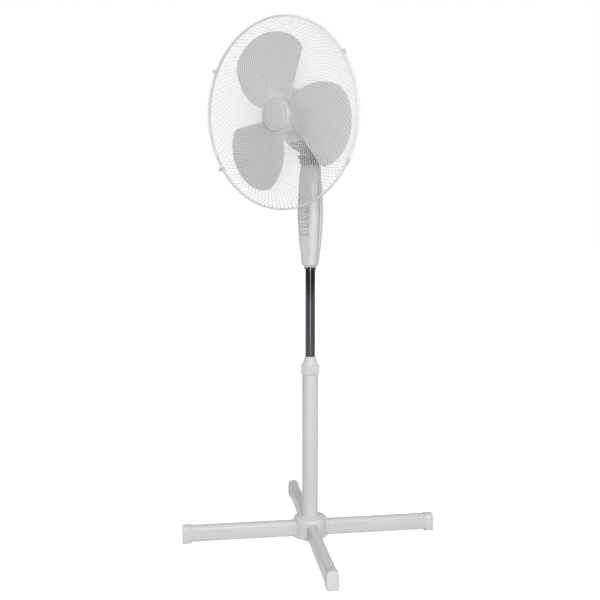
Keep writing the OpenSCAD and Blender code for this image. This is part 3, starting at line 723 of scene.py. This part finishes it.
# %% Tilt neck
bottom = np.radians(np.linspace(180, 360, 25))
cheek = np.concatenate([np.stack([11.3 * np.cos(bottom), 11.3 * np.sin(bottom)], 1),
                        soften([[13, 3], [20, 11], [20, 14.5], [-20, 14.5], [-20, 11], [-13, 3]],
                               [3, 3, 0.5, 0.5, 3, 3])])


def on_cheek(back, up, x):
    """Placing function for an outline seen from the side."""
    return on_neck(x, back, up)


plate = soften([[24, -20], [24, 20], [-24, 20], [-24, -20]], 5)
spigot = soften([[0, 13], [8, 13], [8, 46], [0, 46]], [0, 0.5, 0.8, 0])
stud = soften([[0, 13], [2.5, 13], [2.5, 19], [0, 19]], [0, 0.1, 0.5, 0])
# Painted shade: the neck is coloured darker to stand in for the shadow under the motor head.
neck = make_piece("tilt_neck_fork", [prism(cheek, 13.3, 24, on_cheek), prism(cheek, -24, -13.3, on_cheek),
                                     prism(plate, 11, 14.5, on_neck), turned(spigot, on_neck, 48),
                                     turned(stud, lambda x, y, z: on_neck(x + 18, y, z), 24)],
                  "neck", neck_painted_shade_abs, ["tilt_neck"])
round_edges(neck, 0.9)

# %% [markdown]
# The tilt knob is a hand grip with twelve finger hollows, made like the collar's flutes.

# %% Tilt knob
KNOB_SEAT = 24.4
knob_outline = soften([[3.06, 0], [7, 0], [7, 3.2], [12, 3.2], [11.2, 14], [0, 14], [0, 7.2], [3.06, 7.2]],
                      [0.2, 0.5, 0.4, 1.2, 1.8, 0, 0, 0.1], 6)


def finger_hollows(angle, radius, height):
    """Takes 1.4 mm times a rounded wave of 12 times the angle off the grip's radius."""
    return radius - 1.4 * np.clip(np.cos(12 * angle), 0, 1) * (radius > 9.5)


make_piece("tilt_knob_grip",
           [turned(knob_outline, lambda a, b, h: on_neck(KNOB_SEAT + h, a, b), 144, finger_hollows)],
           "tilt_knob", moulded_abs, ["tilt_knob"])

# %% [markdown]
# Under the motor a block turns on the spigot. Its underside rises towards the front, so that the
# head can look down. It is lofted from back to front with rounded sections whose upper part is
# hidden in the motor cover. A curved skirt in front closes the gap over the neck's plate, just clear
# of it, and stops short of the side where the link of the swing drive comes past.

# %% Swivel bracket
back = np.concatenate([[24, 24, 23], np.linspace(20, -57, 24), [-60, -61, -61]])
inset = np.concatenate([[6, 1.5, 0.4], np.zeros(24), [0.4, 1.5, 6]])
rise = np.clip((-12 - back) / 49, 0, 1)
underside = 19.6 + 21.4 * rise ** 1.4
across, up = rounded_section(25 - inset, underside + inset, 60 - inset, 2.0, 8.0, 8)
skirt_angle = np.radians(np.linspace(-160, -64, 21))[:, None]
skirt_radius, skirt_up = np.array([[24.8, 22.6, 22.6, 24.8]]), np.array([[15.3, 15.3, 21.5, 21.5]])
skirt = on_neck(skirt_radius * np.cos(skirt_angle), skirt_radius * np.sin(skirt_angle),
                skirt_up + 0 * skirt_angle)
# Painted shade: the bracket is coloured darker to stand in for the shadow under the motor head.
make_piece("swivel_bracket_block", [lofted(on_neck(across, back[:, None] + 0 * across, up)), lofted(skirt)],
           "head", neck_painted_shade_abs, ["swivel_bracket"])

# %% [markdown]
# The motor's cover is two turned shells. The front one is a drum with a rounded edge and a boss for
# the ring nut. The rear one is a dome with eighteen air slots. Its rings and columns are spaced so
# that each slot is exactly a run of quads, which are left out before the wall is added.

# %% Motor cover
MOTOR_RADIUS = 54.0
front_cover = soften([[51.8, -14], [MOTOR_RADIUS, -14], [MOTOR_RADIUS, 62], [17, 62], [17, 71], [9, 71],
                      [9, 59.8], [51.8, 59.8]], [0.3, 0.5, 11, 1.5, 0.6, 0.4, 0.5, 8], 9)
make_piece("motor_cover_front", [turned(front_cover, on_shaft, 128)], "head",
           moulded_abs, ["motor_front_cover"])

SLOT_INNER, SLOT_OUTER = 15.0, 33.0
slot_low, slot_high = np.degrees(np.arccos(np.array([SLOT_OUTER, SLOT_INNER]) / MOTOR_RADIUS))
dome = np.radians(np.concatenate([np.linspace(0, slot_low, 9), np.linspace(slot_low, slot_high, 5)[1:],
                                  np.linspace(slot_high, 90, 6)[1:]]))
radius = np.concatenate([[MOTOR_RADIUS, MOTOR_RADIUS], MOTOR_RADIUS * np.cos(dome)])
station = np.concatenate([[-14.1, -30], -45 - 35 * np.sin(dome)])
column = np.radians(np.arange(0, 360, 5.0))
slot_faces = grid_faces(len(radius), len(column), False, True)
ring, step = np.divmod(slot_faces[:, 0], len(column))
open_quad = (radius[ring] < SLOT_OUTER + 0.1) & (radius[ring] > SLOT_INNER + 0.1) & (step % 4 // 2 == 0)
radius_grid, column_grid = radius[:, None], column[None] + np.radians(5)
rear_cover = make_piece("motor_cover_rear",
                        [(on_shaft(radius_grid * np.cos(column_grid), radius_grid * np.sin(column_grid),
                                   station[:, None] + 0 * column_grid), slot_faces[~open_quad])],
                        "head", moulded_abs, ["motor_rear_cover"])
give_wall(rear_cover, 2.2)

# %% [markdown]
# The pull knob on top switches the swing off. Its cap has sixteen fine ribs for grip.

# %% Swing knob
SWING_KNOB_BACK = 34
swing_outline = soften([[0, 114], [4, 114], [4, 161], [7, 161], [8, 173], [6.4, 175.5], [0, 175.5]],
                       [0, 0.4, 0.3, 0.6, 0.8, 0.8, 0], 6)


def fine_ribs(angle, radius, height):
    """Takes 0.35 mm times a raised wave of 16 times the angle off the cap's radius."""
    return radius - 0.35 * (0.5 + 0.5 * np.cos(16 * angle)) * (radius > 6.6)


make_piece("swing_knob_grip",
           [turned(swing_outline, lambda x, y, z: on_neck(x, y + SWING_KNOB_BACK, z), 96, fine_ribs)],
           "swing_knob", moulded_abs, ["swing_knob"])

# %% [markdown]
# ## Blades
#
# A blade is a wide, forward-swept sheet on a screw surface: the distance along the shaft grows
# evenly with the angle, so the blade pushes air evenly from root to tip. Its outline is given by four
# edges in polar terms, and the points between them are blended from the four, which keeps the grid
# even. The sheet is then given two faces, half a thickness to either side, that meet round its edge.

# %% Screw surface of a blade
LEAD_ANGLE, ROOT_TURN = -52.0, 94.0
LEAD_STATION, PITCH = 89, 25
LEAD_TIP, TRAIL_TIP, TIP_BULGE = 150, 160, 34


def trailing_angle(radius):
    """42 degrees at the root, less 24 times the distance beyond 30 mm over 130 mm, to the power 1.8."""
    return 42 - 24 * (np.maximum(radius - 30, 0) / 130) ** 1.8


def blade_station(angle):
    """The screw moves on along the shaft by the pitch for each 90 degrees."""
    return LEAD_STATION + PITCH * (angle - LEAD_ANGLE) / 90


def blade_sheet(first_angle, across=49, along=41):
    """Blend of leading and trailing edge by the share u and of root and tip by v, less the corners."""
    u = 0.5 - 0.5 * np.cos(np.linspace(0, np.pi, across))[None]
    v = 0.5 - 0.5 * np.cos(np.linspace(0, np.pi, along))[:, None]
    root_angle = LEAD_ANGLE + ROOT_TURN * u
    root = 38.5 - 6.9 * (blade_station(root_angle) - 64) / 66
    tip = LEAD_TIP + (TRAIL_TIP - LEAD_TIP) * u + TIP_BULGE * np.sin(np.pi * u ** 1.1).clip(0) ** 0.5
    lead_radius = root[0, 0] + (LEAD_TIP - root[0, 0]) * v
    trail_radius = root[0, -1] + (TRAIL_TIP - root[0, -1]) * v
    radius = ((1 - u) * lead_radius + u * trail_radius + (1 - v) * root + v * tip
              - (1 - u) * (1 - v) * root[0, 0] - u * (1 - v) * root[0, -1]
              - (1 - u) * v * LEAD_TIP - u * v * TRAIL_TIP)
    start, end = trailing_angle(root[0, -1]), trailing_angle(TRAIL_TIP)
    angle = ((1 - u) * LEAD_ANGLE + u * trailing_angle(trail_radius)
             + (1 - v) * (LEAD_ANGLE + (start - LEAD_ANGLE) * u) + v * (LEAD_ANGLE + (end - LEAD_ANGLE) * u)
             - (1 - u) * LEAD_ANGLE - u * (1 - v) * start - u * v * end)
    turn = np.radians(angle + first_angle)
    middle = np.stack([radius * np.cos(turn), radius * np.sin(turn), blade_station(angle)], -1)
    normal = np.cross(np.gradient(middle, axis=1), np.gradient(middle, axis=0))
    normal /= np.linalg.norm(normal, axis=-1, keepdims=True)
    rim = (np.clip(1 - np.abs(2 * u - 1) ** 24, 0, 1) ** 0.5
           * np.clip(1 - np.abs(2 * v - 1) ** 30, 0, 1) ** 0.5)
    half = (1.0 - 0.35 * v) * rim
    sheets = [middle + sign * half[..., None] * normal for sign in (1, -1)]
    faces = grid_faces(along, across)
    return [(on_shaft(*np.moveaxis(sheet, -1, 0)), faces) for sheet in sheets]


# %% Blade hub with three blades
hub = soften([[4.02, 78], [9, 78], [9, 112], [31.5, 112], [37, 80], [39.8, 80], [34.4, 116], [32, 118],
              [4.02, 118]], [0.3, 0.5, 1, 2, 0.4, 0.8, 1.5, 1.5, 0.3], 6)
blade_surfaces = [turned(hub, on_shaft, 128)]
for first_angle in (0, 120, 240):
    blade_surfaces += blade_sheet(first_angle)
make_piece("three_blade_moulding", blade_surfaces, "rotor", blade_abs, ["fan_blade"])

# %% [markdown]
# The spinner is the nut that holds the blade on the shaft. It is a low turned dome.

# %% Spinner
spinner_outline = soften([[4.02, 118.1], [20, 118.1], [19.6, 121], [16, 122.4], [0, 122.4], [0, 120.1],
                          [4.02, 120.1]], [0.2, 0.5, 1.2, 1.6, 0, 0, 0.1], 6)
make_piece("spinner_nut", [turned(spinner_outline, on_shaft)], "rotor", blade_abs,
           ["spinner"])

# %% [markdown]
# ## Cage
#
# Each half of the cage is a hundred and twelve round wires welded to rings. The wires don't run
# straight out: they turn clockwise on the front half and the other way on the rear half, at a rate
# that is the same for every millimetre of radius, so both together look like a net of diamonds. All
# the wires of a half are worked out as one array and carried with a five-sided section, because on a
# wire 1.2 mm thick no more sides can be seen and there are over two hundred of them.


# %% Wires along many paths at once
def wire_tubes(paths, outward, radius, sides=5, ring=False):
    """Each path point gets a small circle in the plane across the path, squared up by `outward`."""
    ahead = (np.roll(paths, -1, 1) - np.roll(paths, 1, 1)) if ring else np.gradient(paths, axis=1)
    across = np.cross(ahead, outward)
    across /= np.linalg.norm(across, axis=-1, keepdims=True)
    square = np.cross(across, ahead)
    square /= np.linalg.norm(square, axis=-1, keepdims=True)
    angle = np.linspace(0, 2 * np.pi, sides, endpoint=False)
    circle = np.cos(angle)[:, None] * square[:, :, None] + np.sin(angle)[:, None] * across[:, :, None]
    points = paths[:, :, None] + radius * MM * circle
    count, steps = paths.shape[:2]
    first = (np.arange(count) * steps * sides)[:, None, None]
    faces = (grid_faces(steps, sides, ring, True)[None] + first).reshape(-1, 4).tolist()
    if not ring:
        cap = np.arange(sides)
        faces += (cap[::-1][None] + first[:, 0]).tolist()
        faces += (cap[None] + (steps - 1) * sides + first[:, 0]).tolist()
    return points, faces


def cage_wires(radius, station, turn_per_mm, wire, count=112):
    """Wire k starts at (k + 1/2) / count of a turn and turns on by turn_per_mm times the way outwards."""
    k = np.arange(count)[:, None]
    angle = 2 * np.pi * (k + 0.5) / count + turn_per_mm * (radius[None] - radius[0])
    paths = on_shaft(radius * np.cos(angle), radius * np.sin(angle), station + 0 * angle)
    step = np.maximum(np.hypot(np.gradient(radius), np.gradient(station)), 1e-9)
    slope, climb = np.gradient(station) / step, np.gradient(radius) / step
    outward = mixed(-slope * np.cos(angle), -slope * np.sin(angle), climb + 0 * angle,
                    RIGHT, UPWARD, FORWARD) / MM
    return wire_tubes(paths, outward, wire)


def cage_ring(radius, station, wire, steps=180, sides=10):
    """A circle about the shaft carried with a round section."""
    angle = np.linspace(0, 2 * np.pi, steps, endpoint=False)[None]
    path = on_shaft(radius * np.cos(angle), radius * np.sin(angle), station + 0 * angle)
    return wire_tubes(path, np.broadcast_to(FORWARD, path.shape), wire, sides, ring=True)


# %% Front half of the cage
RIM, WIRE, RIM_WIRE = 213.3, 0.6, 2.0
FRONT_RIM, REAR_RIM = 115, 111.4
TURN_PER_MM = 1 / 160
shoulder = np.radians(np.linspace(0, 90, 7))
flat_radius = np.linspace(34, 195, 12)
front_radius = np.concatenate([flat_radius, 197 + 16.3 * np.sin(shoulder)])
front_station = np.concatenate([124.1 + 5.3 * (flat_radius - 36) / 161, FRONT_RIM + 14.5 * np.cos(shoulder)])
inner_plate = soften([[22, 123.2], [37.2, 123.2], [37.2, 125.4], [22, 125.4]], 0.5)
make_piece("front_cage_wires",
           [cage_wires(front_radius, front_station, -TURN_PER_MM, WIRE),
            cage_ring(RIM, FRONT_RIM, RIM_WIRE), turned(inner_plate, on_shaft)],
           "head", coated_wire, ["front_grille"], sharp=80)

# %% Rear half of the cage
rear_radius = np.concatenate([np.linspace(56, 150, 7), np.linspace(163, RIM, 10)])
rear_station = 64.5 + 46.9 * (np.clip(rear_radius - 58, 0, None) / 155.3) ** 6
rear_plate = soften([[17.2, 62.1], [61, 62.1], [61, 65], [17.2, 65]], 0.8)
make_piece("rear_cage_wires",
           [cage_wires(rear_radius, rear_station, TURN_PER_MM, WIRE),
            cage_ring(RIM, REAR_RIM, RIM_WIRE), turned(rear_plate, on_shaft)],
           "head", coated_wire, ["rear_grille"], sharp=80)

# %% [markdown]
# A ring nut with six scallops holds the rear half to the motor, and a plain round badge closes the
# middle of the front half. The badge is a low dome with a raised disc.

# %% Ring nut and badge
nut_outline = soften([[17.05, 65.1], [29, 65.1], [29, 71], [17.05, 71]], [0.3, 0.8, 1.4, 0.5])


def scalloped(angle, radius, height):
    """Takes 2.4 mm times a narrow wave of 6 times the angle off the nut's radius."""
    return radius - 2.4 * np.clip(np.cos(6 * angle), 0, 1) ** 4 * (radius > 26)


make_piece("cage_ring_nut", [turned(nut_outline, on_shaft, 144, scalloped)], "head",
           moulded_abs, ["grille_nut"])
badge_outline = soften([[0, 125.5], [38, 125.5], [38, 127.2], [35.2, 129.1], [30, 129.4], [27.6, 130.0],
                        [26, 130.7], [13, 130.95], [0, 131]], [0, 0.3, 1.0, 1.6, 0.8, 0.8, 0.8, 4, 0], 6)
make_piece("cage_badge", [turned(badge_outline, on_shaft, 128)], "head", badge_abs,
           ["grille_badge"])

# %% [markdown]
# Four clips hold the two rims together. Each is a strip that hooks round the rear rim wire, crosses
# both rims on the outside and folds over the front one, with a small tab for the thumb. The strip is
# a line with half its thickness on either side, rounded where it bends.


# %% Rim clips
CLIP_ANGLES = (32, 148, 212, 328)


def strip(path, half):
    """Outline of a strip: the path moved by half its thickness to one side, and back along the other side."""
    path = np.asarray(path, float)
    ahead = np.gradient(path, axis=0)
    side = np.stack([-ahead[:, 1], ahead[:, 0]], 1) / np.linalg.norm(ahead, axis=1)[:, None]
    return np.concatenate([path + half * side, (path - half * side)[::-1]])


HOOK_RADIUS, FOLD_RADIUS = 2.85, 1.5
hook = np.radians(np.linspace(-125, 0, 14))
fold = np.radians(np.linspace(0, 90, 5))
clip_path = np.concatenate([
    np.stack([RIM + HOOK_RADIUS * np.cos(hook), REAR_RIM + HOOK_RADIUS * np.sin(hook)], 1),
    [[216.5, 112.6], [216.6, 114.5]],
    np.stack([215.1 + FOLD_RADIUS * np.cos(fold), 116.95 + FOLD_RADIUS * np.sin(fold)], 1),
    [[211.7, 118.45]]])
thumb_tab = soften([[216.8, 117.8], [221.6, 117.8], [221.6, 119.6], [216.8, 119.6]], 0.5)


def clip_place(degrees):
    """Placing function for a section in the plane of the shaft and the clip's own radius."""
    c, s = np.cos(np.radians(degrees)), np.sin(np.radians(degrees))
    return lambda r, out, w: on_shaft(r * c - w * s, r * s + w * c, out)


for number, degrees in enumerate(CLIP_ANGLES, 1):
    band = prism(strip(clip_path, 0.75), -4.5, 4.5, clip_place(degrees))
    tab = prism(thumb_tab, -3.5, 3.5, clip_place(degrees))
    clip = make_piece(f"rim_clip_{number}", [band, tab], f"clip_{number}", moulded_abs,
                      [f"grille_clip_{number}"])
    round_edges(clip, 0.25)

# %% [markdown]
# ## Studio
#
# The fan stands on a pale floor that runs out of sight. A pale surround, weaker from below than from
# above, lights it from all sides; the floor itself sends no light back up. A tall soft box near the
# camera draws the bright line down the chromed pole, a square one beside it is the main light, and
# two wide soft lights fill the left and the right.

# %% Floor
FLOOR_HALF = 30
floor_finish, tree, shader, place = start_material("pale_studio_floor", 0.9)
surface_life(tree, shader, place, ("#f4f4f4", "#f6f6f6"), 900, (0.85, 0.95), 400, 8.0, 0.01)
shader.inputs["Emission Color"].default_value = linear("#ffffff")
shader.inputs["Emission Strength"].default_value = 0.72
floor_mesh = bpy.data.meshes.new("studio_floor")
floor_mesh.from_pydata([(-FLOOR_HALF, -FLOOR_HALF, 0), (FLOOR_HALF, -FLOOR_HALF, 0),
                        (FLOOR_HALF, FLOOR_HALF, 0), (-FLOOR_HALF, FLOOR_HALF, 0)], [], [(0, 1, 2, 3)])
floor_mesh.materials.append(floor_finish)
floor = bpy.data.objects.new("studio_floor", floor_mesh)
bpy.context.scene.collection.objects.link(floor)
floor.visible_diffuse = False
print("floor ready")

# %% Surround and soft boxes
world = bpy.data.worlds.new("pale_surround")
world.use_nodes = True
sky = world.node_tree
outlook = add_node(sky, "ShaderNodeTexCoord")
direction = add_node(sky, "ShaderNodeSeparateXYZ", {"Vector": outlook.outputs["Generated"]})
glow = add_node(sky, "ShaderNodeMapRange", {"Value": direction.outputs["Z"], "From Min": -0.8,
                                            "From Max": 0.5, "To Min": 0.14, "To Max": 0.53})
ray = add_node(sky, "ShaderNodeLightPath")
level = add_node(sky, "ShaderNodeMapRange", {"Value": ray.outputs["Is Camera Ray"],
                                             "To Min": glow.outputs["Result"], "To Max": 1.0})
sky.links.new(level.outputs["Result"], sky.nodes["Background"].inputs["Strength"])
sky.nodes["Background"].inputs["Color"].default_value = linear("#ffffff")
bpy.context.scene.world = world
bpy.context.scene.view_settings.view_transform = "Standard"


def soft_box(name, centre, aim, width, height, radiance):
    """A rectangular light that faces the aim point; its power is its radiance times pi times its area."""
    light = bpy.data.lights.new(name, "AREA")
    light.shape = "RECTANGLE"
    light.size, light.size_y = width, height
    light.energy = radiance * np.pi * width * height
    lamp = bpy.data.objects.new(name, light)
    back = np.array(centre, float) - np.array(aim, float)
    back /= np.linalg.norm(back)
    side = np.cross([0.0, 0.0, 1.0], back)
    side /= np.linalg.norm(side)
    frame_axes = np.eye(4)
    frame_axes[:3, 0], frame_axes[:3, 1], frame_axes[:3, 2] = side, np.cross(back, side), back
    frame_axes[:3, 3] = centre
    lamp.matrix_world = Matrix(frame_axes.tolist())
    bpy.context.scene.collection.objects.link(lamp)


MID_FAN = (0, 0, 0.7)
soft_box("tall_soft_box", (1.75, -2.1, 1.1), MID_FAN, 0.45, 2.2, 10.0)
soft_box("key_soft_box", (2.2, -1.8, 1.3), MID_FAN, 0.7, 0.7, 11.0)
soft_box("left_soft_box", (-2.2, -2.4, 1.8), MID_FAN, 1.6, 1.6, 0.7)
soft_box("right_soft_box", (2.6, 0.6, 2.2), MID_FAN, 1.4, 1.6, 0.6)
print("lights:", [item.name for item in bpy.data.lights])

# %% [markdown]
# ## Camera
#
# The camera stands to the right of the fan's front, at table height, and looks slightly down, with a
# normal lens. It aims a little to the left of the pole, so the fan stands just right of the middle.

# %% Camera
AROUND, DISTANCE, EYE_HEIGHT, LOOK_DOWN, AIM_LEFT = 36.06, 1.920, 0.752, 4.85, 0.745
camera_data = bpy.data.cameras.new("camera")
camera_data.lens, camera_data.sensor_width = 47.55, 36.0
camera = bpy.data.objects.new("camera", camera_data)
around = np.radians(AROUND)
camera.location = (DISTANCE * np.sin(around), -DISTANCE * np.cos(around), EYE_HEIGHT)
camera.rotation_euler = (np.radians(90 - LOOK_DOWN), 0.0, np.radians(AROUND + AIM_LEFT))
bpy.context.scene.collection.objects.link(camera)
bpy.context.scene.camera = camera
print("camera at", tuple(round(value, 3) for value in camera.location))
